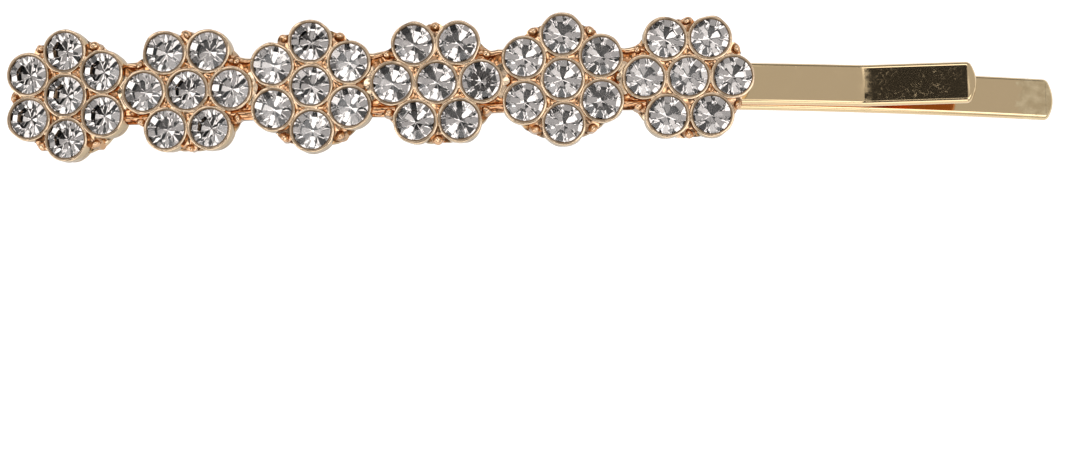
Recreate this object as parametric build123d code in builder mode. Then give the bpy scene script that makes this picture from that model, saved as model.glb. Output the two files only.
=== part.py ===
from build123d import *
import os
from math import cos, degrees, pi, radians, sin, tan

# A hair slide: a folded strip of flattened wire with a row of six cast flowers on its front leg,
# and a cut stone in each cup of the flowers. Millimetres, +X from the fold to the tips, +Z up from
# the surface that the slide lies on. The legs lie on an arch whose centre is the working origin,
# and the last step sets the finished slide on the floor, centred over the origin.

# Strip of the pin
strip_width = 3.1
strip_thickness = 0.75
strip_edge_share = 0.44
leg_gap = 0.4
arch_radius = 160.0
front_leg_length = 61.9
back_leg_length = 77.0
back_leg_set = 0.28

# Tips of the pin
flare_length = 7.15
flare_rise_deg = 13.3
flare_bend_radius = 3.0
lip_length = 0.66
lip_fall_deg = 14.0
tip_bulge = 0.5
tip_corner_radius = 0.45
tip_edge_radius = 0.2
tip_cut_margin = 0.02

# Cut stones
stone_diameter = 2.8
stone_sides = 8
table_ratio = 0.55
culet_ratio = 0.04
crown_angle_deg = 34.0
crown_edge_angle_deg = 44.0
girdle_height = 0.08
pavilion_angle_deg = 41.5
pavilion_edge_angle_deg = 44.0

# Flowers of the setting
flower_count = 6
flower_gap = 0.21
petal_count = 6
stone_gap = 0.44
base_thickness = 0.9
rim_width = 0.14
cup_draft = 0.22
rim_above_girdle = 0.06
rim_round = 0.06
web_thickness = 0.95
web_reach = 1.11

# Seats of the stones
seat_clearance = 0.04
seat_depth_clearance = 0.08
seat_floor_radius = 0.15

# Beads in the notches between the petals
bead_reach = 0.91
bead_radius = 0.32
bead_post_radius = 0.42
bead_drop = 0.46

# Webs and bars that join neighbouring flowers
bridge_inset = 0.36
bar_width = 0.34
bar_drop = 0.46

# Lie of the setting on the front leg
first_flower_from_fold = 3.66
setting_roll_deg = 8.5
setting_sink = 0.25
glue_film = 0.05

# Worked out from the sizes above
fold_radius = (strip_thickness + leg_gap) / 2
middle_of_pin = back_leg_length / 2
stone_radius = stone_diameter / 2
girdle_apothem = stone_radius * cos(pi / (2 * stone_sides))
table_apothem = girdle_apothem * table_ratio
culet_apothem = girdle_apothem * culet_ratio
crown_height = (girdle_apothem - table_apothem) * tan(radians(crown_angle_deg))
pavilion_depth = (girdle_apothem - culet_apothem) * tan(radians(pavilion_angle_deg))
girdle_bottom = base_thickness + pavilion_depth
girdle_top = girdle_bottom + girdle_height
seat_radius = stone_radius + seat_clearance
cup_rim_radius = seat_radius + rim_width
cup_base_radius = cup_rim_radius + cup_draft
cup_height = girdle_top + rim_above_girdle
stone_pitch = stone_diameter + stone_gap
petal_step_deg = 360 / petal_count
petal_slant = stone_pitch * cos(radians(petal_step_deg / 2))
flower_pitch = stone_pitch + petal_slant + stone_diameter + flower_gap
bead_ring_radius = stone_pitch + bead_reach
bead_height = cup_height - bead_drop
bridge_half_width = petal_slant - bridge_inset
bar_length = flower_pitch - stone_pitch - 2 * seat_radius
bar_height = cup_height - bar_drop
row_from_fold = first_flower_from_fold + flower_pitch * (flower_count - 1) / 2
setting_back_radius = arch_radius + strip_thickness / 2 - setting_sink


def arch_angle(along_leg):
    """Degrees from the top of the arch to a point of the legs, at a length along them from the fold."""
    return degrees((along_leg - middle_of_pin) / arch_radius)


def strip_section(plane, clearance):
    """Rounded section of the flattened wire, on a plane whose x runs across the strip."""
    with BuildSketch(plane) as section:
        RectangleRounded(
            strip_width + 2 * clearance,
            strip_thickness + 2 * clearance,
            strip_thickness * strip_edge_share + clearance,
        )
    return section.sketch


def end_trim(plane):
    """What is cut off an end of the strip to round it, on a plane whose x points off the end."""
    trim_size = 2 * strip_width
    half_width = strip_width / 2 + tip_cut_margin
    with BuildSketch() as kept:
        with BuildLine():
            sides = Polyline(
                (-tip_bulge, half_width),
                (-trim_size, half_width),
                (-trim_size, -half_width),
                (-tip_bulge, -half_width),
            )
            ThreePointArc(sides @ 1, (0, 0), sides @ 0)
        make_face()
        fillet(kept.vertices().group_by(Axis.X)[-1], tip_corner_radius)
    with BuildSketch(plane) as trim:
        Rectangle(trim_size, trim_size)
        add(kept.sketch, mode=Mode.SUBTRACT)
    return trim.sketch


def facet_tiers(plane, depth, main_angle_deg, edge_angle_deg):
    """Main facets of a stone, cut at the girdle by a second tier of steeper ones between them."""
    tiers = ((Mode.ADD, 0, main_angle_deg), (Mode.INTERSECT, 180 / stone_sides, edge_angle_deg))
    with BuildPart() as faceted:
        for mode, turn_deg, angle_deg in tiers:
            with BuildSketch(plane) as outline:
                RegularPolygon(girdle_apothem, stone_sides, major_radius=False, rotation=turn_deg)
            extrude(outline.sketch, amount=depth, taper=90 - angle_deg, mode=mode)
    return faceted.part


def flower_place(number):
    """Where a flower's back lies, on a row that is arched like the leg and rolled about it."""
    row_angle = arch_angle(row_from_fold)
    step_angle = degrees(flower_pitch / arch_radius) * (number - (flower_count + 1) / 2)
    row = Location((0, 0, 0), (0, row_angle, 0)) * Location((0, 0, setting_back_radius))
    rolled = row * Location((0, 0, 0), (setting_roll_deg, 0, 0))
    arch_centre = rolled * Location((0, 0, -setting_back_radius))
    return arch_centre * Location((0, 0, 0), (0, step_angle, 0)) * Location((0, 0, setting_back_radius))


def first_petal_deg(number):
    """Direction of a flower's first petal: flowers point across the row and along it by turns."""
    return petal_step_deg / 2 if number % 2 else 0


def stone_places(number):
    """Places of the stones of one flower: the centre's first, then the petals' in turn."""
    place = flower_place(number)
    petals = PolarLocations(stone_pitch, petal_count, first_petal_deg(number))
    return [place] + [place * petal for petal in petals.locations]


# Pin: the path of the strip runs from the front tip round the fold to the back tip
with BuildLine(Plane.XZ) as strip_path:
    front_leg = CenterArc(
        (0, 0),
        arch_radius,
        90 - arch_angle(front_leg_length),
        arch_angle(front_leg_length) - arch_angle(0),
    )
    flare_bend = JernArc(front_leg @ 0, (front_leg % 0) * -1, flare_bend_radius, flare_rise_deg)
    flare = PolarLine(flare_bend @ 1, flare_length, direction=flare_bend % 1)
    lip = JernArc(flare @ 1, flare % 1, lip_length / radians(lip_fall_deg), -lip_fall_deg)
    fold = JernArc(front_leg @ 1, front_leg % 1, fold_radius, 180)
    back_radius = arch_radius - 2 * fold_radius
    back_tip_angle = radians(arch_angle(back_leg_length))
    back_tip = Vector(
        back_radius * sin(back_tip_angle),
        -back_leg_set,
        back_radius * cos(back_tip_angle),
    )
    back_leg = TangentArc(fold @ 1, back_tip, tangent=fold % 1)

strip_start = Plane(origin=lip @ 1, x_dir=(0, 1, 0), z_dir=(lip % 1) * -1)

with BuildPart() as pin:
    sweep(strip_section(strip_start, 0), path=strip_path.line)
    for leg_end in (lip, back_leg):
        tip_plane = Plane(
            origin=leg_end @ 1,
            x_dir=leg_end % 1,
            z_dir=(leg_end % 1).cross(Vector(0, 1, 0)),
        )
        extrude(end_trim(tip_plane), amount=strip_thickness, both=True, mode=Mode.SUBTRACT)
        tip_edges = edges(Select.LAST).filter_by(Axis(leg_end @ 1, tip_plane.z_dir), reverse=True)
        fillet(tip_edges, tip_edge_radius)

# Room for the pin and its film of glue, under the setting
with BuildPart() as pin_room:
    sweep(strip_section(strip_start, glue_film), path=strip_path.line)

# Cup of one stone, still solid
with BuildPart() as cup:
    with BuildSketch(Plane.XZ) as cup_profile:
        with BuildLine():
            Polyline(
                (0, 0),
                (cup_base_radius, 0),
                (cup_rim_radius, cup_height),
                (0, cup_height),
                close=True,
            )
        make_face()
        fillet(cup_profile.vertices().group_by(Axis.Y)[-1].sort_by(Axis.X)[-1], rim_round)
    revolve(axis=Axis.Z)

# Seat of one stone, which is sunk in its cup and stays open above
with BuildPart() as seat:
    seat_step = girdle_bottom - seat_depth_clearance
    seat_floor = base_thickness - seat_depth_clearance
    seat_top = cup_height + seat_radius
    with BuildSketch(Plane.XZ) as seat_profile:
        with BuildLine():
            Polyline(
                (0, seat_floor),
                (seat_floor_radius, seat_floor),
                (seat_radius, seat_step),
                (seat_radius, seat_top),
                (0, seat_top),
                close=True,
            )
        make_face()
    revolve(axis=Axis.Z)

# One flower without its seats: a web, seven cups, and a bead on a post in each notch
with BuildPart() as flower:
    with BuildSketch() as web_outline:
        Circle(stone_pitch + web_reach)
    extrude(amount=web_thickness)
    add(cup.part)
    with PolarLocations(stone_pitch, petal_count):
        add(cup.part)
    with PolarLocations(bead_ring_radius, petal_count, petal_step_deg / 2):
        Cylinder(
            bead_post_radius,
            bead_height - bead_radius,
            align=(Align.CENTER, Align.CENTER, Align.MIN),
        )
        with Locations((0, 0, bead_height - bead_radius)):
            Sphere(bead_radius)

# Web and bars between two neighbouring flowers
with BuildPart() as bridge:
    with BuildSketch() as bridge_outline:
        Rectangle(flower_pitch, 2 * bridge_half_width)
    extrude(amount=web_thickness)
    with BuildSketch() as bar_outline:
        with GridLocations(0, 2 * bridge_half_width - bar_width, 1, 2):
            Rectangle(bar_length, bar_width)
    extrude(amount=bar_height)

# Setting: the whole casting, opened for the stones and for the pin
flower_numbers = range(1, flower_count + 1)

with BuildPart() as setting:
    for number in flower_numbers:
        turned = Location((0, 0, 0), (0, 0, first_petal_deg(number)))
        add(flower.part.moved(flower_place(number) * turned))
    for number in flower_numbers[:-1]:
        add(bridge.part.moved(flower_place(number + 0.5)))
    all_seats = [seat.part.moved(place) for n in flower_numbers for place in stone_places(n)]
    add(all_seats, mode=Mode.SUBTRACT)
    add(pin_room.part, mode=Mode.SUBTRACT)

# One cut stone, over the back of its flower
crown = facet_tiers(
    Plane.XY.offset(girdle_top), crown_height, crown_angle_deg, crown_edge_angle_deg
)
pavilion = facet_tiers(
    -Plane.XY.offset(girdle_bottom), pavilion_depth, pavilion_angle_deg, pavilion_edge_angle_deg
)

with BuildPart() as stone:
    with BuildSketch(Plane.XY.offset(girdle_bottom)) as girdle_outline:
        RegularPolygon(girdle_apothem, 2 * stone_sides, major_radius=False)
    extrude(amount=girdle_height)
    add(crown)
    add(pavilion)

pieces = {"pin": pin.part, "setting": setting.part}
for number in flower_numbers:
    for position, place in enumerate(stone_places(number)):
        name = f"flower_{number}_petal_{position}_stone" if position else f"flower_{number}_centre_stone"
        pieces[name] = stone.part.moved(place)

# The slide lies on the floor, centred over the origin
box = Compound(children=[pin.part.moved(Location()), setting.part.moved(Location())]).bounding_box()
on_floor = Location((-box.center().X, -box.center().Y, -box.min.Z))

os.makedirs("parts", exist_ok=True)
for name, piece in pieces.items():
    placed = piece.moved(on_floor)
    placed.label = name
    export_step(placed, f"parts/{name}.step")
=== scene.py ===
"""Looks of a hair slide: a folded gold-plated strip that carries a cast row of stone-set flowers.

Sizes are in millimetres and angles in degrees, unless a name says otherwise. A finished mesh is in metres.
"""

import logging
import math
import random
from collections.abc import Callable
from dataclasses import dataclass
from enum import Enum
from functools import partial
from typing import Any

import bmesh
import bpy
from mathutils import Matrix, Vector, noise


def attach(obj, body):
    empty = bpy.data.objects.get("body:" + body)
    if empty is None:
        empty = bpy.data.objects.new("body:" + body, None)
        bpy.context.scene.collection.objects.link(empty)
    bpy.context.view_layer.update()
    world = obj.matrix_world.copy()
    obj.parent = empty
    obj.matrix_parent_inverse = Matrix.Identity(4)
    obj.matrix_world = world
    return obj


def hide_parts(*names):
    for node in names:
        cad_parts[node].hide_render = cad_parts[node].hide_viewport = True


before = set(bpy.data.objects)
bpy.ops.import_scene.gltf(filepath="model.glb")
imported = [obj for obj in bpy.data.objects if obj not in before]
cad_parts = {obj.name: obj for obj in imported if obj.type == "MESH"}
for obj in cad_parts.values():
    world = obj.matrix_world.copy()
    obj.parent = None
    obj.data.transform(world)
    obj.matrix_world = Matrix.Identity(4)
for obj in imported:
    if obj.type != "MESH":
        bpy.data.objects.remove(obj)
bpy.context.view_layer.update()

METRES = 0.001
# Point marks that carry painted shade: an orange tone in recesses and inside the fold, and a brown line in
# the seam round each stone.
PAINTED_RECESS_SHADE = "thin_plating"
PAINTED_SEAM_SHADE = "dried_polish"
WHITE = "ffffff"
MERGE_DISTANCE = 1e-5
LOG = logging.getLogger("hair_slide")

# Sockets of a Mix node, whose names repeat for each kind of value.
FACTOR, NUMBER_A, NUMBER_B, COLOUR_A, COLOUR_B = 0, 2, 3, 6, 7
MIXED_COLOUR = 2


class Slot(Enum):
    """Material slots of the record."""

    STRIP = "strip"
    CASTING = "casting"
    STONES = "stones"


class Carving(Enum):
    """Ways to combine one solid with others."""

    JOIN = "UNION"
    CUT = "DIFFERENCE"


def linear(hex_colour: str) -> tuple[float, float, float, float]:
    """Turns an sRGB colour into the linear one that a shader takes.

    Args:
        hex_colour: Six hexadecimal digits, such as "c8a070".

    Returns:
        Red, green, blue and an alpha of 1.
    """
    channels = [int(hex_colour[i : i + 2], 16) / 255 for i in (0, 2, 4)]
    red, green, blue = (c / 12.92 if c <= 0.04045 else ((c + 0.055) / 1.055) ** 2.4 for c in channels)
    return red, green, blue, 1.0


def add_node(
    tree: bpy.types.NodeTree,
    kind: str,
    settings: dict[str, Any] | None = None,
    values: dict[str | int, Any] | None = None,
    links: dict[str | int, bpy.types.Node | bpy.types.NodeSocket] | None = None,
) -> bpy.types.Node:
    """Adds one node to a tree, with its settings and links.

    Args:
        tree: The tree that gets the node.
        kind: The node's type, less the ShaderNode that it starts with.
        settings: Properties of the node and their values.
        values: Inputs, by name or number, and their values.
        links: Inputs, by name or number, and the sockets that feed them. A node stands for its first output.

    Returns:
        The new node.
    """
    node = tree.nodes.new("ShaderNode" + kind)
    for name, value in (settings or {}).items():
        setattr(node, name, value)
    for name, value in (values or {}).items():
        node.inputs[name].default_value = value
    for name, source in (links or {}).items():
        socket = source.outputs[0] if isinstance(source, bpy.types.Node) else source
        tree.links.new(socket, node.inputs[name])
    return node


def new_material(
    name: str, values: dict[str, Any]
) -> tuple[bpy.types.Material, Callable[..., bpy.types.Node], Callable[..., Any]]:
    """Makes a material of one shader.

    Args:
        name: The material's name.
        values: The shader's uniform values, by input.

    Returns:
        The material, what adds a node to it, and what feeds a socket to an input of the shader.
    """
    material = bpy.data.materials.new(name)
    material.use_nodes = True
    tree = material.node_tree
    tree.nodes.clear()
    shader = add_node(tree, "BsdfPrincipled", values=values)
    add_node(tree, "OutputMaterial", links={"Surface": shader})
    return material, partial(add_node, tree), lambda name, socket: tree.links.new(socket, shader.inputs[name])


def new_object(name: str, shape: bmesh.types.BMesh) -> bpy.types.Object:
    """Turns a shape into an object of the scene, and frees the shape.

    Args:
        name: The object's name.
        shape: The shape, in its final place.

    Returns:
        The object, at the origin.
    """
    mesh = bpy.data.meshes.new(name)
    shape.to_mesh(mesh)
    shape.free()
    made = bpy.data.objects.new(name, mesh)
    bpy.context.scene.collection.objects.link(made)
    return made


def moved(shape: bmesh.types.BMesh, place: Matrix) -> bmesh.types.BMesh:
    """Moves a shape to a place, and gives it back."""
    bmesh.ops.transform(shape, matrix=place, verts=shape.verts)
    return shape


def round_off(shape: bmesh.types.BMesh, geom: list[Any], offset: float, segments: int) -> None:
    """Rounds some edges of a shape, or some corners.

    Args:
        shape: The shape.
        geom: The edges, or the corners.
        offset: How far from them the rounding starts.
        segments: Its number of steps.
    """
    bmesh.ops.bevel(
        shape,
        geom=geom,
        affect="EDGES" if isinstance(geom[0], bmesh.types.BMEdge) else "VERTICES",
        offset=offset,
        offset_type="OFFSET",
        segments=segments,
        profile=0.5,
        material=-1,
    )


def slice_across(shape: bmesh.types.BMesh, stations: list[float]) -> None:
    """Slices a shape across X, so that it can bend there.

    Args:
        shape: The shape.
        stations: Where it is sliced.
    """
    for station in stations:
        geom = shape.verts[:] + shape.edges[:] + shape.faces[:]
        bmesh.ops.bisect_plane(shape, geom=geom, plane_co=(station, 0, 0), plane_no=(1, 0, 0))


def carved(body: bpy.types.Object, tools: list[bpy.types.Object], how: Carving) -> bpy.types.Object:
    """Joins other solids to a body, or cuts them out of it, and removes them.

    Args:
        body: The solid that stays.
        tools: The solids that are used up.
        how: Whether they are joined or cut.

    Returns:
        The body, with its new mesh.
    """
    for tool in tools:
        modifier = body.modifiers.new("carving", "BOOLEAN")
        modifier.operation = how.value
        modifier.solver = "MANIFOLD"
        modifier.object = tool
    evaluated = body.evaluated_get(bpy.context.evaluated_depsgraph_get())
    mesh = bpy.data.meshes.new_from_object(evaluated)
    mesh.materials.clear()
    body.modifiers.clear()
    old = body.data
    body.data = mesh
    bpy.data.meshes.remove(old)
    for tool in tools:
        used = tool.data
        bpy.data.objects.remove(tool)
        bpy.data.meshes.remove(used)
    return body


def to_metres(made: bpy.types.Object) -> None:
    """Scales an object's mesh from millimetres to metres."""
    made.data.transform(Matrix.Scale(METRES, 4))


def shade(made: bpy.types.Object, sharp_deg: float) -> None:
    """Shades an object smooth, apart from its sharp edges.

    Args:
        made: The object.
        sharp_deg: The angle between two faces past which their edge is sharp.
    """
    shape = bmesh.new()
    shape.from_mesh(made.data)
    for face in shape.faces:
        face.smooth = True
    for edge in shape.edges:
        edge.smooth = edge.calc_face_angle(0.0) < math.radians(sharp_deg)
    shape.to_mesh(made.data)
    shape.free()


@dataclass(frozen=True)
class Layout:
    """Sizes that the strip, the casting and the stones share, and the places that follow from them."""

    strip_thickness: float = 0.75
    arch_radius: float = 160.0
    back_leg_length: float = 77.0
    stone_radius: float = 1.4
    stone_sides: int = 8
    table_ratio: float = 0.55
    culet_ratio: float = 0.04
    crown_angle: float = 34.0
    pavilion_angle: float = 41.5
    girdle_height: float = 0.08
    base_thickness: float = 0.9
    stone_gap: float = 0.44
    flower_gap: float = 0.21
    flower_count: int = 6
    petal_count: int = 6
    first_flower_from_fold: float = 3.66
    setting_roll: float = 8.5
    setting_sink: float = 0.25

    @property
    def numbers(self) -> range:
        """The flowers' numbers."""
        return range(1, self.flower_count + 1)

    @property
    def petal_step(self) -> float:
        """Angle in radians from one petal to the next."""
        return 2 * math.pi / self.petal_count

    @property
    def apothem(self) -> float:
        """Distance from a stone's axis to the flats of its girdle."""
        return self.stone_radius * math.cos(math.pi / (2 * self.stone_sides))

    @property
    def crown_height(self) -> float:
        """Height of a stone's table above its girdle."""
        return self.apothem * (1 - self.table_ratio) * math.tan(math.radians(self.crown_angle))

    @property
    def girdle_bottom(self) -> float:
        """Height of the girdle's lower edge above the flower's back."""
        depth = self.apothem * (1 - self.culet_ratio) * math.tan(math.radians(self.pavilion_angle))
        return self.base_thickness + depth

    @property
    def girdle_top(self) -> float:
        """Height of the girdle's upper edge above the flower's back."""
        return self.girdle_bottom + self.girdle_height

    @property
    def table_height(self) -> float:
        """Height of a stone's table above the flower's back."""
        return self.girdle_top + self.crown_height

    @property
    def stone_pitch(self) -> float:
        """Distance from the centre stone to a petal's."""
        return 2 * self.stone_radius + self.stone_gap

    @property
    def petal_slant(self) -> float:
        """Reach along the row of a petal that stands half a step off it."""
        return self.stone_pitch * math.cos(math.pi / self.petal_count)

    @property
    def flower_pitch(self) -> float:
        """Distance between neighbouring flowers, along the arch."""
        return self.stone_pitch + self.petal_slant + 2 * self.stone_radius + self.flower_gap

    @property
    def back_radius(self) -> float:
        """Radius of the arch that the flowers' backs lie on."""
        return self.arch_radius + self.strip_thickness / 2 - self.setting_sink

    def arch_angle(self, along_leg: float) -> float:
        """Angle in radians, from the top of the arch, of a point of the legs at a distance from the fold."""
        return (along_leg - self.back_leg_length / 2) / self.arch_radius

    def flower_place(self, number: float) -> Matrix:
        """Where a flower's back lies, seen from the centre of the arch.

        Args:
            number: The flower's number, from 1. A half lies between two flowers.

        Returns:
            The place, with Z away from the leg.
        """
        middle = (self.flower_count - 1) / 2
        row_angle = self.arch_angle(self.first_flower_from_fold + middle * self.flower_pitch)
        step_angle = (number - 1 - middle) * self.flower_pitch / self.arch_radius
        up = Matrix.Translation((0, 0, self.back_radius))
        down = Matrix.Translation((0, 0, -self.back_radius))
        roll = Matrix.Rotation(math.radians(self.setting_roll), 4, "X")
        row = Matrix.Rotation(row_angle, 4, "Y") @ up @ roll @ down
        return row @ Matrix.Rotation(step_angle, 4, "Y") @ up

    def first_petal(self, number: int) -> float:
        """Direction in radians of a flower's first petal, which changes from flower to flower."""
        return math.pi / self.petal_count if number % 2 else 0.0

    def stone_places(self, number: int) -> list[Matrix]:
        """Where the stones of one flower stand: the centre's first, then the petals' in turn.

        Args:
            number: The flower's number, from 1.

        Returns:
            The places, on the flower's back.
        """
        place = self.flower_place(number)
        turns = [self.first_petal(number) + self.petal_step * k for k in range(self.petal_count)]
        reach = Matrix.Translation((self.stone_pitch, 0, 0))
        return [place] + [place @ Matrix.Rotation(turn, 4, "Z") @ reach for turn in turns]

    def frame_shift(self) -> Matrix:
        """Reads from one stone of the frame where the centre of the arch lies.

        Returns:
            The shift from the centre of the arch to the frame's origin.
        """
        place = self.flower_place(1)
        axis = place.to_3x3() @ Vector((0, 0, 1))
        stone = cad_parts["flower_1_centre_stone"].data
        corners = {tuple(round(c / METRES, 4) for c in v.co) for v in stone.vertices}
        top = max(Vector(c).dot(axis) for c in corners)
        table = [Vector(c) for c in corners if Vector(c).dot(axis) > top - self.girdle_height / 2]
        found = sum(table, Vector()) / len(table)
        return Matrix.Translation(found - place @ Vector((0, 0, self.table_height)))


LAYOUT = Layout()
SHIFT = LAYOUT.frame_shift()


@dataclass(frozen=True)
class PlatedStrip:
    """Mild steel strip, rolled and polished, then plated pale gold.

    The plating gives a calm, soft mirror. Handling leaves curly scuffs that show where it mirrors something
    dark, the press chafes the bend below the flare, and the open tip is rubbed to a mottled, duller patch.
    Inside the fold, the underside of the front leg is painted orange, more so towards its face: painted shade
    and bounced light between the legs.
    """

    name: str = "polished_pale_gold_plated_steel"
    gold: str = "ceb58e"
    # Painted shade and bounced light: the orange painted under the front leg, inside the fold.
    recess_shade_tone: str = "f0a060"
    rubbed_dark: str = "c2ac86"
    rubbed_light: str = "d8c39d"
    roughness: float = 0.1
    scuffed_roughness: float = 0.27
    rubbed_roughness: float = 0.2
    scuff_size: float = 0.9
    scuff_curl: float = 1.6
    scuff_share: float = 0.016
    patch_size: float = 1.3
    patch_levels: tuple[float, float] = (0.42, 0.6)
    bend_place: float = 24.35
    bend_scuffs: float = 0.6
    bend_strength: float = 2.0
    rub_start: float = 35.9
    rub_wander: float = 2.0
    rub_fade: float = 0.15
    rub_grain: float = 0.6
    rub_levels: tuple[float, float] = (0.35, 0.65)

    def build(self) -> bpy.types.Material:
        """Makes the material, on Object coordinates.

        Returns:
            The material.
        """
        material, add, feed = new_material(self.name, {"Metallic": 1.0})
        place = add("TexCoord").outputs["Object"]
        along = add("SeparateXYZ", links={0: place}).outputs["X"]
        # Size, detail and distortion of each noise.
        patterns = (
            (self.scuff_size, 2.0, self.scuff_curl),
            (self.patch_size, 2.0, 0.0),
            (self.rub_grain, 4.0, 0.0),
        )
        scales = [{"Scale": 1 / (p[0] * METRES), "Detail": p[1], "Distortion": p[2]} for p in patterns]
        scuffs, patches, ragged = (add("TexNoise", values=scale, links={"Vector": place}) for scale in scales)
        some, mottle = (
            add("MapRange", values={"From Min": low, "From Max": high}, links={"Value": noisy})
            for (low, high), noisy in ((self.patch_levels, patches), (self.rub_levels, ragged))
        )
        # A scuff runs where its noise crosses the middle, and the chafing lies on both sides of the bend.
        past = [
            add("Math", {"operation": "SUBTRACT"}, {1: middle}, {0: value})
            for value, middle in ((scuffs, 0.5), (along, self.bend_place * METRES))
        ]
        off_line, off_bend = (add("Math", {"operation": "ABSOLUTE"}, links={0: value}) for value in past)
        fall = {"From Max": self.scuff_share, "To Min": 1.0, "To Max": 0.0}
        scuff = add("MapRange", values=fall, links={"Value": off_line})
        fall = {"From Min": self.bend_scuffs * METRES, "From Max": 0.0, "To Max": self.bend_strength}
        pressed = add("MapRange", values=fall, links={"Value": off_bend})
        curls, chafed = (
            add("Math", {"operation": "MULTIPLY", "use_clamp": True}, links={0: mark, 1: where})
            for mark, where in ((scuff, some), (pressed, mottle))
        )
        scuffed = add("Math", {"operation": "MAXIMUM"}, links={0: curls, 1: chafed})
        wander = {1: self.rub_wander * METRES}
        border = add("Math", {"operation": "MULTIPLY_ADD"}, wander, {0: ragged, 2: along})
        edge = (self.rub_start + self.rub_wander / 2) * METRES
        fade = {"From Min": edge, "From Max": edge + self.rub_fade * METRES}
        rubbed = add("MapRange", values=fade, links={"Value": border})
        dull = {"To Min": self.roughness, "To Max": self.scuffed_roughness}
        duller = add("MapRange", values=dull, links={"Value": scuffed})
        dull = {NUMBER_B: self.rubbed_roughness}
        feed("Roughness", add("Mix", values=dull, links={FACTOR: rubbed, NUMBER_A: duller}).outputs[0])
        mottled = {COLOUR_A: linear(self.rubbed_dark), COLOUR_B: linear(self.rubbed_light)}
        patch = add("Mix", {"data_type": "RGBA"}, mottled, {FACTOR: mottle}).outputs[MIXED_COLOUR]
        gold, over_gold = {COLOUR_A: linear(self.gold)}, {FACTOR: rubbed, COLOUR_B: patch}
        plated = add("Mix", {"data_type": "RGBA"}, gold, over_gold).outputs[MIXED_COLOUR]
        # Painted shade and bounced light: orange mixed in under the front leg, inside the fold.
        recess_shade_mask = add("Attribute", {"attribute_name": PAINTED_RECESS_SHADE}).outputs["Fac"]
        recess_shade_tone, below = {COLOUR_B: linear(self.recess_shade_tone)}, {FACTOR: recess_shade_mask, COLOUR_A: plated}
        feed("Base Color", add("Mix", {"data_type": "RGBA"}, recess_shade_tone, below).outputs[MIXED_COLOUR])
        return material


@dataclass(frozen=True)
class PlatedCasting:
    """Zinc alloy, cast in a rubber mould, coppered and then plated champagne gold.

    The skin of the mould leaves small lumps that break up the mirror. The sides are painted a darker colour
    than what faces up: painted shade.
    The pits, pockets and notches between the cups are painted orange, the more so the deeper they lie:
    painted shade and bounced light. The seam round each stone is painted brown: painted shade.
    """

    name: str = "cast_champagne_gold_plated_zinc"
    gold: str = "d6bc9f"
    # Painted shade: the darker colour of the sides, set against the gold of what faces up.
    side: str = "c2b39a"
    # Painted shade and bounced light: the orange painted deep in the pits, pockets and notches.
    recess_shade_tone: str = "cd9a70"
    # Painted shade: the brown line in the seam round each stone.
    seam_shade_tone: str = "6b5743"
    edge_tint: str = "d0c6ba"
    side_slope: float = 0.1
    top_slope: float = 0.6
    roughness: float = 0.17
    roughness_spread: float = 0.3
    seam_roughness: float = 0.45
    lump_size: float = 0.35
    lump_grit: float = 0.45
    lump_height: float = 0.022

    def build(self) -> bpy.types.Material:
        """Makes the material, on Object coordinates.

        Returns:
            The material.
        """
        values = {"Metallic": 1.0, "Specular Tint": linear(self.edge_tint)}
        material, add, feed = new_material(self.name, values)
        spot = add("TexCoord").outputs
        scale = {"Scale": 1 / (self.lump_size * METRES), "Detail": 2.0, "Roughness": self.lump_grit}
        lumps = add("TexNoise", values=scale, links={"Vector": spot["Object"]})
        height = {"Strength": 1.0, "Distance": self.lump_height * METRES}
        feed("Normal", add("Bump", values=height, links={"Height": lumps}).outputs[0])
        # Masks of painted shade: orange deep in the recesses, and brown in the seam round each stone.
        recess_shade_mask, seam = (
            add("Attribute", {"attribute_name": name}).outputs["Fac"] for name in (PAINTED_RECESS_SHADE, PAINTED_SEAM_SHADE)
        )
        low, high = (self.roughness * (1 + way * self.roughness_spread) for way in (-1, 1))
        polished = add("MapRange", values={"To Min": low, "To Max": high}, links={"Value": lumps})
        dull = {NUMBER_B: self.seam_roughness}
        feed("Roughness", add("Mix", values=dull, links={FACTOR: seam, NUMBER_A: polished}).outputs[0])
        # Painted shade: faces that turn away from upward take the darker side colour.
        facing = add("SeparateXYZ", links={0: spot["Normal"]}).outputs["Z"]
        slopes = {"From Min": self.side_slope, "From Max": self.top_slope}
        upward = add("MapRange", values=slopes, links={"Value": facing}).outputs[0]
        below = None
        for shown, share in ((self.gold, upward), (self.recess_shade_tone, recess_shade_mask), (self.seam_shade_tone, seam)):
            colours = {COLOUR_A: linear(self.side), COLOUR_B: linear(shown)}
            links = {FACTOR: share, COLOUR_A: below} if below else {FACTOR: share}
            below = add("Mix", {"data_type": "RGBA"}, colours, links).outputs[MIXED_COLOUR]
        feed("Base Color", below)
        return material


@dataclass(frozen=True)
class CutGlass:
    """Clear crystal glass, pressed and polished, which bends light more than window glass does."""

    name: str = "polished_crystal_glass"
    tint: str = "fbf9f6"
    ior: float = 1.56

    def build(self) -> bpy.types.Material:
        """Makes the material."""
        clear = {"Roughness": 0.0, "IOR": self.ior, "Transmission Weight": 1.0}
        return new_material(self.name, {"Base Color": linear(self.tint)} | clear)[0]


@dataclass(frozen=True)
class MirrorFoil:
    """Silver mirror laid on the back facets of a stone, which throws the light back through its face."""

    name: str = "silvered_stone_back"
    silver: str = "dfdcdb"
    roughness: float = 0.03

    def build(self) -> bpy.types.Material:
        """Makes the material."""
        values = {"Base Color": linear(self.silver), "Roughness": self.roughness, "Metallic": 1.0}
        return new_material(self.name, values)[0]


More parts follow.
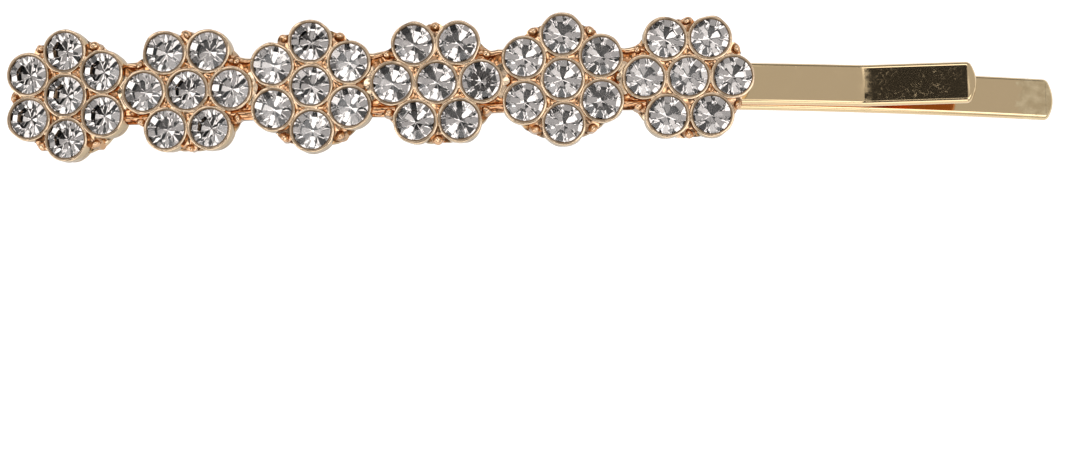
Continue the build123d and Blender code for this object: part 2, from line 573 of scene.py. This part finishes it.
@dataclass(frozen=True)
class LightTable:
    """White acrylic sheet, lit from below, on which small goods are photographed without a shadow."""

    name: str = "white_acrylic_light_table"
    tint: str = "808080"
    roughness: float = 0.6
    glow: float = 1.0

    def build(self) -> bpy.types.Material:
        """Makes the material.

        Returns:
            The material.
        """
        values = {"Base Color": linear(self.tint), "Roughness": self.roughness}
        glowing = {"Emission Color": linear(WHITE), "Emission Strength": self.glow}
        return new_material(self.name, values | glowing)[0]


@dataclass(frozen=True)
class Run:
    """A stretch of the strip's centreline, straight or an even bend."""

    length: float
    turn: float

    def walk(self, start: Vector, heading: float, distance: float) -> tuple[Vector, float]:
        """Follows the stretch.

        Args:
            start: Where it starts, in the plane of the arch.
            heading: Its first direction, in radians.
            distance: How far to go.

        Returns:
            The point reached, and the direction there.
        """
        bend = self.turn / self.length
        ahead = heading + bend * distance
        if not bend:
            step = Vector((math.cos(heading), math.sin(heading))) * distance
        else:
            step = Vector((math.sin(ahead) - math.sin(heading), math.cos(heading) - math.cos(ahead))) / bend
        return start + step, ahead


@dataclass(frozen=True)
class Strip:
    """The pin: one flat strip with rounded ends, folded back on itself and arched."""

    width: float = 3.1
    leg_gap: float = 0.4
    front_leg_length: float = 61.9
    back_leg_set: float = 0.28
    flare_length: float = 7.475
    flare_rise: float = 13.3
    flare_bend_radius: float = 1.6
    lip_length: float = 0.66
    lip_fall: float = 14.0
    tip_bulge: float = 0.5
    tip_corner: float = 0.45
    edge_share: float = 0.44
    clearance: float = 0.0
    leg_slice: float = 1.2
    bend_slice: float = 0.12
    arc_steps: int = 14
    corner_steps: int = 4
    edge_steps: int = 5
    sharp_angle: float = 60.0

    @property
    def fold_radius(self) -> float:
        """Radius of the fold's centreline."""
        return (LAYOUT.strip_thickness + self.leg_gap) / 2

    def runs(self) -> tuple[list[Run], list[Run]]:
        """Works out the centreline from the start of the front leg, both ways.

        Returns:
            The runs to the front tip, and those round the fold to the back tip.
        """
        radius = LAYOUT.arch_radius
        flare_bend = math.radians(self.flare_rise)
        half_arch = -LAYOUT.arch_angle(0.0)
        to_front = [
            Run(self.front_leg_length, -self.front_leg_length / radius),
            Run(self.flare_bend_radius * flare_bend, flare_bend),
            Run(self.flare_length, 0.0),
            Run(self.lip_length, -math.radians(self.lip_fall)),
        ]
        back_radius = radius - 2 * self.fold_radius
        to_back = [
            Run(self.fold_radius * math.pi, math.pi),
            Run(2 * half_arch * back_radius, -2 * half_arch),
        ]
        return to_front, to_back

    def stations(self) -> list[float]:
        """Where the flat blank is sliced across, so that it can bend there.

        Returns:
            Distances from the start of the front leg, negative towards the back tip.
        """
        found = []
        for way, runs in zip((1, -1), self.runs()):
            start = 0.0
            for run in runs:
                tight = run.turn and run.length / abs(run.turn) < LAYOUT.arch_radius / 2
                step = self.bend_slice if tight else self.leg_slice
                count = max(2, round(run.length / step))
                found += [way * (start + run.length * k / count) for k in range(count)]
                start += run.length
        return found

    def blank(self) -> bmesh.types.BMesh:
        """Makes the flat strip, with X along it, rounded ends and rounded edges.

        Returns:
            The strip before it is bent.
        """
        half = self.width / 2
        thick = LAYOUT.strip_thickness + 2 * self.clearance
        end_radius = (half**2 + self.tip_bulge**2) / (2 * self.tip_bulge)
        half_arc = math.asin(half / end_radius)
        shape = bmesh.new()
        chains = []
        for way, runs in zip((1, -1), self.runs()):
            tip = way * (sum(run.length for run in runs) + self.clearance)
            corner = shape.verts.new((tip - way * self.tip_bulge, -way * half, -thick / 2))
            bmesh.ops.spin(
                shape,
                geom=[corner],
                cent=(tip - way * end_radius, 0, 0),
                axis=(0, 0, 1),
                angle=2 * half_arc,
                steps=self.arc_steps,
            )
            shape.verts.ensure_lookup_table()
            chains.append((corner, shape.verts[-1]))
        (front_start, front_end), (back_start, back_end) = chains
        shape.edges.new((front_end, back_start))
        shape.edges.new((back_end, front_start))
        bmesh.ops.edgeloop_fill(shape, edges=shape.edges[:])
        turn = math.pi / 2 - half_arc
        corners = [front_start, front_end, back_start, back_end]
        round_off(shape, corners, self.tip_corner * math.tan(turn / 2), self.corner_steps)
        if self.clearance:
            wider = 1 + self.clearance / half
            bmesh.ops.scale(shape, vec=(1, wider, 1), verts=shape.verts)
        top = bmesh.ops.extrude_face_region(shape, geom=shape.faces[:])["geom"]
        raised = [v for v in top if isinstance(v, bmesh.types.BMVert)]
        bmesh.ops.translate(shape, vec=(0, 0, thick), verts=raised)
        bmesh.ops.recalc_face_normals(shape, faces=shape.faces)
        rims = [e for e in shape.edges if abs(e.verts[0].co.z - e.verts[1].co.z) < thick / 2]
        round_off(shape, rims, LAYOUT.strip_thickness * self.edge_share + self.clearance, self.edge_steps)
        slice_across(shape, self.stations())
        return shape

    def bent(self, point: Vector) -> Vector:
        """Carries a point of the blank to where it lies on the folded pin.

        Args:
            point: The point, along, across and through the blank.

        Returns:
            The point, seen from the centre of the arch.
        """
        forward = point.x >= 0
        runs = self.runs()[0 if forward else 1]
        start_angle = LAYOUT.arch_angle(0.0)
        place = Vector((math.sin(start_angle), math.cos(start_angle))) * LAYOUT.arch_radius
        heading = -start_angle if forward else math.pi - start_angle
        left = abs(point.x)
        for number, run in enumerate(runs):
            last = number == len(runs) - 1
            distance = left if last else min(left, run.length)
            place, heading = run.walk(place, heading, distance)
            left -= distance
        if forward:
            aside = 0.0
            along = heading
        else:
            share = max(0.0, -point.x - runs[0].length) / runs[1].length
            aside = -self.back_leg_set * share**2
            along = heading + math.pi
        through = Vector((-math.sin(along), math.cos(along))) * point.z
        return Vector((place.x + through.x, point.y + aside, place.y + through.y))

    def shape(self) -> bmesh.types.BMesh:
        """Makes the folded strip.

        Returns:
            The strip, in the frame.
        """
        strip = self.blank()
        # Marks painted shade under the front leg, stronger towards its face.
        recess_shade_mask = strip.verts.layers.float.new(PAINTED_RECESS_SHADE)
        for vert in strip.verts:
            depth = -vert.co.z / (LAYOUT.strip_thickness / 2)
            under_front = vert.co.x > 0 and depth > 0
            vert[recess_shade_mask] = depth**2 if under_front else 0.0
            vert.co = SHIFT @ self.bent(vert.co)
        bmesh.ops.recalc_face_normals(strip, faces=strip.faces)
        return strip

    def make(self, material: bpy.types.Material) -> bpy.types.Object:
        """Makes the pin and dresses it.

        Args:
            material: The plating.

        Returns:
            The pin.
        """
        pin = new_object("folded_strip", self.shape())
        shade(pin, self.sharp_angle)
        to_metres(pin)
        flats = pin.modifiers.new("flat faces stay flat", "WEIGHTED_NORMAL")
        flats.keep_sharp = True
        flats.weight = 100
        pin.data.materials.append(material)
        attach(pin, "root")
        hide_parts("pin")
        return pin


@dataclass(frozen=True)
class Casting:
    """The setting: six flowers of seven cups, with beads in their notches and webs and bars between them."""

    seat_clearance: float = 0.03
    seat_depth_clearance: float = 0.08
    seat_floor_radius: float = 0.15
    lip_reach: float = 0.06
    lip_thickness: float = 0.05
    rim_width: float = 0.2
    rim_above_girdle: float = 0.1
    rim_round: float = 0.075
    foot_inset: float = 0.1
    foot_height: float = 0.95
    foot_share: float = 0.6
    web_thickness: float = 0.5
    web_reach: float = 1.11
    bead_reach: float = 0.91
    bead_radius: float = 0.34
    bead_arc: float = 110.0
    bead_drop: float = 0.5
    notch_reach: float = 0.58
    notch_radius: float = 0.62
    notch_drop: float = 0.8
    notch_dip: float = 0.1
    knot_radius: float = 0.46
    knot_drop: float = 0.07
    gap_knot_drop: float = 0.24
    pit_radius: float = 0.75
    pit_edge_drop: float = 0.42
    pit_drop: float = 0.75
    pocket_radius: float = 0.62
    pocket_edge_drop: float = 0.7
    pocket_drop: float = 1.1
    pocket_shift: float = 0.35
    pocket_aside: float = 1.45
    bridge_inset: float = 0.62
    bar_width: float = 0.46
    bar_drop: float = 0.6
    bar_aside: float = 0.15
    bar_round_share: float = 0.45
    bar_bead_along: float = 0.5
    bar_bead_scale: float = 0.85
    glue_film: float = 0.05
    unevenness: float = 0.06
    uneven_size: float = 0.9
    uneven_reach: float = 0.3
    uneven_seed: int = 5
    uneven_beyond: float = 2.0
    even_share: float = 0.2
    seam_width: float = 0.02
    # Where the painted shade in the recesses starts, as a share of the pit's drop, and how fast it grows.
    shade_start_depth: float = 0.4
    shade_depth_rate: float = 2.2
    notch_shade_cap: float = 0.6
    notch_margin: float = 1.1
    cup_steps: int = 56
    bead_steps: int = 18
    bar_steps: int = 10
    round_steps: int = 4
    sharp_angle: float = 35.0

    @property
    def seat_radius(self) -> float:
        """Radius of the hole that takes a stone's girdle."""
        return LAYOUT.stone_radius + self.seat_clearance

    @property
    def cup_height(self) -> float:
        """Height of a cup's rim above the flower's back."""
        return LAYOUT.girdle_top + self.rim_above_girdle

    def cup(self) -> bmesh.types.BMesh:
        """Makes one cup, still solid, by spinning its section.

        Returns:
            The cup, round the Z axis.
        """
        rim_radius = self.seat_radius + self.rim_width
        base_radius = rim_radius - self.foot_inset
        shape = self.section(
            (
                (0.0, self.cup_height),
                (rim_radius, self.cup_height),
                (rim_radius, self.foot_height),
                (base_radius, self.foot_height * self.foot_share),
                (base_radius, 0.0),
                (0.0, 0.0),
            )
        )
        shape.verts.ensure_lookup_table()
        round_off(shape, [shape.verts[1]], self.rim_round, self.round_steps)
        return self.turned(shape, self.cup_steps)

    def seat(self) -> bmesh.types.BMesh:
        """Makes the hollow of one cup: a cone under the stone, and a lip that leans in over its girdle.

        Returns:
            The hollow as a solid, round the Z axis.
        """
        floor = LAYOUT.base_thickness - self.seat_depth_clearance
        lip_radius = self.seat_radius - self.lip_reach
        lip_height = self.cup_height - self.lip_thickness
        above = self.cup_height + self.lip_reach
        section = (
            (0.0, floor),
            (self.seat_floor_radius, floor),
            (self.seat_radius, LAYOUT.girdle_bottom - self.seat_depth_clearance),
            (self.seat_radius, lip_height - self.lip_reach / 2),
            (lip_radius, lip_height),
            (lip_radius + self.lip_thickness / 4, self.cup_height - self.lip_thickness / 3),
            (self.seat_radius, self.cup_height),
            (self.seat_radius, above),
            (0.0, above),
        )
        return self.turned(self.section(section), self.cup_steps)

    def turned(self, shape: bmesh.types.BMesh, steps: int) -> bmesh.types.BMesh:
        """Spins a section, drawn in the XZ plane from the axis to the axis, into a closed solid.

        Args:
            shape: The section.
            steps: The number of sides.

        Returns:
            The solid, round the Z axis.
        """
        bmesh.ops.spin(
            shape,
            geom=shape.verts[:] + shape.edges[:],
            cent=(0, 0, 0),
            axis=(0, 0, 1),
            angle=2 * math.pi,
            steps=steps,
            use_merge=True,
        )
        bmesh.ops.remove_doubles(shape, verts=shape.verts, dist=MERGE_DISTANCE)
        bmesh.ops.recalc_face_normals(shape, faces=shape.faces)
        return shape

    def section(self, points: tuple[tuple[float, float], ...]) -> bmesh.types.BMesh:
        """Draws an open section from straight runs.

        Args:
            points: Distances from the axis, and heights.

        Returns:
            The section, in the XZ plane.
        """
        shape = bmesh.new()
        verts = [shape.verts.new((radius, 0, height)) for radius, height in points]
        for first, second in zip(verts, verts[1:]):
            shape.edges.new((first, second))
        return shape

    def disc(self, radius: float, top: float, steps: int, dip: float = 0.0) -> bmesh.types.BMesh:
        """Makes a disc on the flower's back, with its edge at the height of the top and its middle dished."""
        return self.turned(self.section(((0.0, top - dip), (radius, top), (radius, 0.0), (0.0, 0.0))), steps)

    def bead(self) -> bmesh.types.BMesh:
        """Makes one bead, a round-headed knob.

        Returns:
            The bead, round the Z axis.
        """
        head = self.cup_height - self.bead_drop - self.bead_radius
        shape = self.section(((0.0, head + self.bead_radius),))
        bmesh.ops.spin(
            shape,
            geom=shape.verts[:],
            cent=(0, 0, head),
            axis=(0, 1, 0),
            angle=math.radians(self.bead_arc),
            steps=self.bead_steps // 2,
        )
        shape.verts.ensure_lookup_table()
        last = shape.verts[-1]
        for radius in (last.co.x, 0.0):
            point = shape.verts.new((radius, 0, 0))
            shape.edges.new((last, point))
            last = point
        return self.turned(shape, self.bead_steps)

    def block(self, length: float, width: float, height: float, aside: float = 0.0) -> bmesh.types.BMesh:
        """Makes a block that stands on the flower's back, with its middle aside from the row.

        Args:
            length: Its length along the row.
            width: Its width.
            height: Its height.
            aside: How far from the row its middle lies.

        Returns:
            The block, round the middle of a gap.
        """
        block = bmesh.new()
        size = Matrix.Diagonal((length, width, height, 1))
        bmesh.ops.create_cube(block, size=1.0, matrix=Matrix.Translation((0, aside, height / 2)) @ size)
        return block

    def bridge(self, way: int) -> list[bmesh.types.BMesh]:
        """Makes what joins two flowers: a web, two bars with a bead on each, two dished pockets and knots.

        Args:
            way: 1 where the flower past the gap has a petal on the row, and -1 where the other has.

        Returns:
            The solids, round the middle of the gap.
        """
        half_width = LAYOUT.petal_slant - self.bridge_inset
        bar_height = self.cup_height - self.bar_drop
        bar_length = LAYOUT.flower_pitch - LAYOUT.stone_pitch - 2 * self.seat_radius
        bar_middle = half_width - self.bar_width / 2
        pocket_top = self.cup_height - self.pocket_edge_drop
        pocket_dip = self.pocket_drop - self.pocket_edge_drop
        smaller = Matrix.Diagonal((self.bar_bead_scale, self.bar_bead_scale, 1, 1))
        made = [self.block(LAYOUT.flower_pitch, 2 * half_width, self.web_thickness)]
        for side in (-1, 1):
            aside = side * bar_middle + self.bar_aside
            bar = self.block(bar_length, self.bar_width, bar_height, aside)
            high = [e for e in bar.edges if min(v.co.z for v in e.verts) > bar_height / 2]
            ridges = [e for e in high if abs(e.verts[0].co.x - e.verts[1].co.x) > bar_length / 2]
            round_off(bar, ridges, self.bar_width * self.bar_round_share, self.round_steps)
            slice_across(bar, [bar_length * (k / self.bar_steps - 0.5) for k in range(1, self.bar_steps)])
            pocket = self.disc(self.pocket_radius, pocket_top, self.bead_steps, pocket_dip)
            by_petal = Matrix.Translation((way * self.pocket_shift, side * self.pocket_aside, 0))
            on_bar = Matrix.Translation((-way * self.bar_bead_along, aside, 0))
            made += [bar, moved(pocket, by_petal), moved(self.bead(), on_bar @ smaller)]
        along = way * (LAYOUT.petal_slant - LAYOUT.stone_pitch) / 2
        for side in (-1, 0, 1):
            knot = self.disc(self.knot_radius, self.cup_height - self.gap_knot_drop, self.bead_steps)
            made.append(moved(knot, Matrix.Translation((along, side * LAYOUT.stone_pitch / 4, 0))))
        return made

    def flower(self) -> bmesh.types.BMesh:
        """Casts one flower in one piece, with its first petal along X and its cups still solid.

        Returns:
            The flower, on its back.
        """
        web = self.disc(LAYOUT.stone_pitch + self.web_reach, self.web_thickness, 2 * self.cup_steps)
        body = new_object("flower", web)
        cup, bead = self.cup(), self.bead()
        pit, knot, notch = (
            self.disc(radius, self.cup_height - drop, self.bead_steps, dip)
            for radius, drop, dip in (
                (self.pit_radius, self.pit_edge_drop, self.pit_drop - self.pit_edge_drop),
                (self.knot_radius, self.knot_drop, 0.0),
                (self.notch_radius, self.notch_drop, self.notch_dip),
            )
        )
        pitch, slant = LAYOUT.stone_pitch, LAYOUT.petal_slant
        on_petal = ((cup, pitch), (knot, pitch / 2))
        between_petals = (
            (bead, pitch + self.bead_reach),
            (notch, pitch + self.notch_reach),
            (pit, pitch / math.sqrt(3)),
            (knot, slant),
        )
        tools = [new_object("cup", cup.copy())]
        for k in range(LAYOUT.petal_count):
            for offset, solids in ((0.0, on_petal), (0.5, between_petals)):
                turn = Matrix.Rotation(LAYOUT.petal_step * (k + offset), 4, "Z")
                for solid, reach in solids:
                    place = turn @ Matrix.Translation((reach, 0, 0))
                    tools.append(new_object("solid", moved(solid.copy(), place)))
        for used in (cup, bead, pit, knot, notch):
            used.free()
        body = carved(body, tools, Carving.JOIN)
        shape = bmesh.new()
        shape.from_mesh(body.data)
        bpy.data.objects.remove(body)
        return shape

    def roughen(self, casting: bpy.types.Object) -> None:
        """Makes the cups a little uneven, as castings are, leaves the seats round, and marks their seams for
        a painted shade line.

        Args:
            casting: The casting, in millimetres.
        """
        seats = [(SHIFT @ place).inverted() for n in LAYOUT.numbers for place in LAYOUT.stone_places(n)]
        inner = self.seat_radius + self.even_share * self.rim_width
        outer = self.seat_radius + (1 - self.even_share) * self.rim_width
        seam = casting.data.attributes.new(PAINTED_SEAM_SHADE, "FLOAT", "POINT")
        noise.seed_set(self.uneven_seed)
        for vert in casting.data.vertices:
            reach = min((seat @ vert.co).xy.length for seat in seats)
            share = min(1.0, max(0.0, (reach - inner) / (outer - inner)))
            share += self.uneven_beyond * min(1.0, max(0.0, (reach - outer) / self.uneven_reach))
            # Marks the seam round each seat for a painted shade line.
            seam.data[vert.index].value = float(reach < self.seat_radius + self.seam_width)
            vert.co += noise.noise_vector(vert.co / self.uneven_size) * self.unevenness * share

    def paint_recess_shade(self, casting: bpy.types.Object) -> None:
        """Marks painted shade at each point: the deeper in a pit, pocket or notch, the more orange it is
        painted.

        Args:
            casting: The casting, in millimetres.
        """
        backs = [(SHIFT @ LAYOUT.flower_place(number)).inverted() for number in LAYOUT.numbers]
        pocket_width = LAYOUT.petal_slant - self.bridge_inset
        notch_ring = LAYOUT.stone_pitch + self.notch_reach
        # The copy of the strip that cuts the channel brings marks of its own.
        old = casting.data.attributes.get(PAINTED_RECESS_SHADE)
        if old:
            casting.data.attributes.remove(old)
        recess_shade_mask = casting.data.attributes.new(PAINTED_RECESS_SHADE, "FLOAT", "POINT")
        for vert in casting.data.vertices:
            seen = [back @ vert.co for back in backs]
            nearest = min(range(len(seen)), key=lambda k: abs(seen[k].x))
            point = seen[nearest]
            past_row = point.x < 0 if nearest == 0 else point.x > 0 and nearest == len(seen) - 1
            turn = math.atan2(point.y, point.x) - LAYOUT.first_petal(nearest + 1)
            from_notch = turn % LAYOUT.petal_step - LAYOUT.petal_step / 2
            reach = point.xy.length
            notch = Vector((notch_ring - reach * math.cos(from_notch), reach * math.sin(from_notch)))
            in_pit = reach < LAYOUT.stone_pitch
            in_pocket = abs(point.y) < pocket_width and not past_row
            depth = (self.cup_height - self.rim_round - point.z) / self.pit_drop
            shade_amount = max(0.0, (depth - self.shade_start_depth) * self.shade_depth_rate)
            # Painted shade: the deeper the point, the more orange; notches get less of it.
            if in_pit or in_pocket:
                recess_shade_mask.data[vert.index].value = min(1.0, shade_amount)
            elif notch.length < self.notch_radius * self.notch_margin:
                recess_shade_mask.data[vert.index].value = min(self.notch_shade_cap, shade_amount)

    def make(self, material: bpy.types.Material) -> bpy.types.Object:
        """Makes the whole casting, with the channel that takes the leg, and dresses it.

        Args:
            material: The plating.

        Returns:
            The casting.
        """
        flower = self.flower()
        parts = []
        for number in LAYOUT.numbers:
            turn = Matrix.Rotation(LAYOUT.first_petal(number), 4, "Z")
            place = SHIFT @ LAYOUT.flower_place(number)
            parts.append(new_object("flower", moved(flower.copy(), place @ turn)))
            if number < LAYOUT.flower_count:
                between = SHIFT @ LAYOUT.flower_place(number + 0.5)
                joins = self.bridge(1 if number % 2 else -1)
                parts += [new_object("bridge", moved(solid, between)) for solid in joins]
        flower.free()
        casting = carved(parts[0], parts[1:], Carving.JOIN)
        hollows = [new_object("channel", Strip(clearance=self.glue_film).shape())]
        seat = self.seat()
        for number in LAYOUT.numbers:
            for place in LAYOUT.stone_places(number):
                hollows.append(new_object("seat", moved(seat.copy(), SHIFT @ place)))
        seat.free()
        casting = carved(casting, hollows, Carving.CUT)
        casting.name = "flower_casting"
        self.paint_recess_shade(casting)
        self.roughen(casting)
        shade(casting, self.sharp_angle)
        to_metres(casting)
        casting.data.materials.append(material)
        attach(casting, "root")
        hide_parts("setting")
        return casting


@dataclass(frozen=True)
class Stones:
    """The stones: round blanks of glass, cut facet by facet, with a silvered back."""

    crown_edge_angle: float = 44.0
    pavilion_edge_angle: float = 44.0
    ridge_width: float = 0.045
    back_slope: float = 0.3
    foil_slope: float = 0.1
    largest_tilt: float = 4.0
    seed: int = 11

    def cut(self) -> bmesh.types.BMesh:
        """Cuts one stone from a round blank.

        The ridges between its back facets are a little rubbed, which draws the fine star in it.

        Returns:
            The stone, over its flower's back, with its silvered faces in the second material.
        """
        sides = LAYOUT.stone_sides
        height = LAYOUT.table_height - LAYOUT.base_thickness
        flat_turn = Matrix.Rotation(math.pi / (2 * sides), 4, "Z")
        stone = bmesh.new()
        bmesh.ops.create_cone(
            stone,
            cap_ends=True,
            segments=2 * sides,
            radius1=LAYOUT.stone_radius,
            radius2=LAYOUT.stone_radius,
            depth=height,
            matrix=Matrix.Translation((0, 0, LAYOUT.base_thickness + height / 2)) @ flat_turn,
        )
        tiers = (
            (LAYOUT.girdle_top, 1, LAYOUT.crown_angle, 0.0),
            (LAYOUT.girdle_top, 1, self.crown_edge_angle, 0.5),
            (LAYOUT.girdle_bottom, -1, LAYOUT.pavilion_angle, 0.0),
            (LAYOUT.girdle_bottom, -1, self.pavilion_edge_angle, 0.5),
        )
        for level, way, angle, offset in tiers:
            slope = math.radians(angle)
            for k in range(sides):
                turn = 2 * math.pi * (k + offset) / sides
                outwards = Vector((math.cos(turn), math.sin(turn), 0))
                normal = outwards * math.sin(slope) + Vector((0, 0, way * math.cos(slope)))
                self.grind(stone, outwards * LAYOUT.apothem + Vector((0, 0, level)), normal)
        bmesh.ops.recalc_face_normals(stone, faces=stone.faces)
        ridges = [
            edge
            for edge in stone.edges
            if all(face.normal.z < -self.back_slope for face in edge.link_faces)
            and abs(edge.verts[0].co.z - edge.verts[1].co.z) > self.ridge_width
        ]
        round_off(stone, ridges, self.ridge_width / 2, 1)
        for face in stone.faces:
            face.material_index = 1 if face.normal.z < self.foil_slope else 0
        return stone

    def grind(self, stone: bmesh.types.BMesh, point: Vector, normal: Vector) -> None:
        """Grinds one facet.

        Args:
            stone: The stone.
            point: A point of the facet.
            normal: The facet's outward direction.
        """
        geom = stone.verts[:] + stone.edges[:] + stone.faces[:]
        cut = bmesh.ops.bisect_plane(
            stone, geom=geom, dist=MERGE_DISTANCE, plane_co=point, plane_no=normal, clear_outer=True
        )
        rim = [e for e in cut["geom_cut"] if isinstance(e, bmesh.types.BMEdge)]
        if len(rim) > 2:
            bmesh.ops.edgeloop_fill(stone, edges=rim)

    def make(self, number: int, materials: list[bpy.types.Material]) -> bpy.types.Object:
        """Sets the stones of one flower, each a little turned and tipped as hand setting leaves it.

        Args:
            number: The flower's number, from 1.
            materials: The glass and the silvering.

        Returns:
            The flower's stones.
        """
        chance = random.Random(self.seed + number)
        stone = self.cut()
        middle = Matrix.Translation((0, 0, LAYOUT.girdle_bottom))
        together = bmesh.new()
        for place in LAYOUT.stone_places(number):
            spin = Matrix.Rotation(chance.uniform(0, 2 * math.pi), 4, "Z")
            tipped = self.largest_tilt * chance.random() ** 2
            tilt = Matrix.Rotation(math.radians(tipped), 4, "X")
            turn = Matrix.Rotation(chance.uniform(0, 2 * math.pi), 4, "Z")
            lie = middle @ turn @ tilt @ turn.inverted() @ spin @ middle.inverted()
            placed = bpy.data.meshes.new("stone")
            copy = moved(stone.copy(), SHIFT @ place @ lie)
            copy.to_mesh(placed)
            copy.free()
            together.from_mesh(placed)
            bpy.data.meshes.remove(placed)
        stone.free()
        made = new_object(f"flower_{number}_stones", together)
        to_metres(made)
        for material in materials:
            made.data.materials.append(material)
        petals = [f"flower_{number}_petal_{k}_stone" for k in range(1, LAYOUT.petal_count + 1)]
        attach(made, "root")
        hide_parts(f"flower_{number}_centre_stone", *petals)
        return made


@dataclass(frozen=True)
class Card:
    """A softbox, or a black card, that hangs in the light tent.

    Azimuth 0 is behind the slide, and 90 is past its tips.
    """

    azimuth: float
    from_zenith: float
    half_width: float
    softness: float
    brightness: float


@dataclass(frozen=True)
class Studio:
    """The light tent, the light table and the camera."""

    camera_distance: float = 380.0
    camera_tilt: float = 12.43
    camera_yaw: float = -0.563
    camera_roll: float = 0.67
    aim_height: float = 5.0
    aim_right: float = 0.51
    aim_down: float = 10.85
    focal_length: float = 172.7
    sensor_width: float = 36.0
    nearest_seen: float = 10.0
    floor_size: float = 3000.0
    tent_brightness: float = 0.7
    cards: tuple[Card, ...] = (
        Card(azimuth=0.0, from_zenith=75.0, half_width=30.0, softness=8.0, brightness=0.3),
        Card(azimuth=0.0, from_zenith=34.0, half_width=12.0, softness=2.0, brightness=2.6),
        Card(azimuth=300.0, from_zenith=33.0, half_width=9.0, softness=2.0, brightness=2.6),
        Card(azimuth=122.0, from_zenith=38.0, half_width=17.0, softness=2.0, brightness=2.8),
        Card(azimuth=180.0, from_zenith=62.0, half_width=18.0, softness=4.0, brightness=2.2),
        Card(azimuth=240.0, from_zenith=60.0, half_width=17.0, softness=4.0, brightness=2.8),
        Card(azimuth=180.0, from_zenith=33.0, half_width=10.0, softness=1.0, brightness=0.02),
        Card(azimuth=220.0, from_zenith=33.0, half_width=10.0, softness=1.0, brightness=0.1),
        Card(azimuth=260.0, from_zenith=33.0, half_width=10.0, softness=1.0, brightness=0.1),
        Card(azimuth=180.0, from_zenith=15.0, half_width=7.0, softness=1.0, brightness=0.1),
        Card(azimuth=120.0, from_zenith=15.0, half_width=7.0, softness=1.0, brightness=1.4),
        Card(azimuth=240.0, from_zenith=15.0, half_width=7.0, softness=1.0, brightness=3.0),
        Card(azimuth=300.0, from_zenith=15.0, half_width=7.0, softness=1.0, brightness=0.02),
        Card(azimuth=29.2, from_zenith=14.3, half_width=1.6, softness=0.8, brightness=1.6),
        Card(azimuth=-18.8, from_zenith=15.2, half_width=5.2, softness=3.0, brightness=0.035),
    )

    def view_turn(self) -> Matrix:
        """Turns the camera from its own axes to the frame's.

        Returns:
            The turn.
        """
        roll = Matrix.Rotation(-math.radians(self.camera_roll), 3, "Z")
        yaw = Matrix.Rotation(math.radians(self.camera_yaw), 3, "Y")
        tilt = Matrix.Rotation(math.radians(self.camera_tilt), 3, "X")
        return tilt @ yaw @ roll

    def camera(self) -> None:
        """Stands the camera where the picture was taken from."""
        data = bpy.data.cameras.new("camera")
        data.sensor_width = self.sensor_width
        data.lens = self.focal_length
        data.clip_start = self.nearest_seen * METRES
        turn = self.view_turn()
        aim = Vector((self.aim_right, -self.aim_down, self.camera_distance))
        place = Vector((0, 0, self.aim_height)) + turn @ aim
        made = bpy.data.objects.new("camera", data)
        made.matrix_world = Matrix.Translation(place * METRES) @ turn.to_4x4()
        bpy.context.scene.collection.objects.link(made)
        bpy.context.scene.camera = made

    def tent(self) -> None:
        """Lights the tent: an even wall, in front of which the softboxes and black cards hang."""
        world = bpy.data.worlds.new("light_tent")
        world.use_nodes = True
        bpy.context.scene.world = world
        tree = world.node_tree
        tree.nodes.clear()
        add = partial(add_node, tree)
        way = add("TexCoord").outputs["Generated"]
        total = add("Value").outputs[0]
        total.default_value = self.tent_brightness
        for card in self.cards:
            turn, lean = math.radians(card.azimuth), math.radians(card.from_zenith)
            towards = (math.sin(turn) * math.sin(lean), math.cos(turn) * math.sin(lean), math.cos(lean))
            near = add("VectorMath", {"operation": "DOT_PRODUCT"}, {1: towards}, {0: way}).outputs["Value"]
            edges = (card.half_width + card.softness, card.half_width)
            low, high = (math.cos(math.radians(edge)) for edge in edges)
            fade = {"From Min": low, "From Max": high}
            inside = add("MapRange", {"interpolation_type": "SMOOTHSTEP"}, fade, {"Value": near})
            lit = {NUMBER_B: card.brightness}
            total = add("Mix", values=lit, links={FACTOR: inside, NUMBER_A: total}).outputs[0]
        light = add("Background", values={"Color": linear(WHITE)}, links={"Strength": total})
        add("OutputWorld", links={"Surface": light})

    def table(self) -> None:
        """Lays the light table under the slide."""
        top = bmesh.new()
        bmesh.ops.create_grid(top, x_segments=1, y_segments=1, size=self.floor_size / 2 * METRES)
        made = new_object("light_table", top)
        made.data.materials.append(LightTable().build())

    def build(self) -> None:
        """Builds the studio."""
        self.camera()
        self.tent()
        self.table()
        bpy.context.scene.view_settings.view_transform = "Standard"


def main() -> None:
    """Builds the studio and the slide, and reports each piece."""
    logging.basicConfig(level=logging.INFO, format="%(name)s: %(message)s")
    Studio().build()
    glass, foil = CutGlass().build(), MirrorFoil().build()
    pieces = [Strip().make(PlatedStrip().build()), Casting().make(PlatedCasting().build())]
    pieces += [Stones().make(number, [glass, foil]) for number in LAYOUT.numbers]
    for piece in pieces:
        LOG.info("%s: %d faces", piece.name, len(piece.data.polygons))


if __name__ == "__main__":
    main()
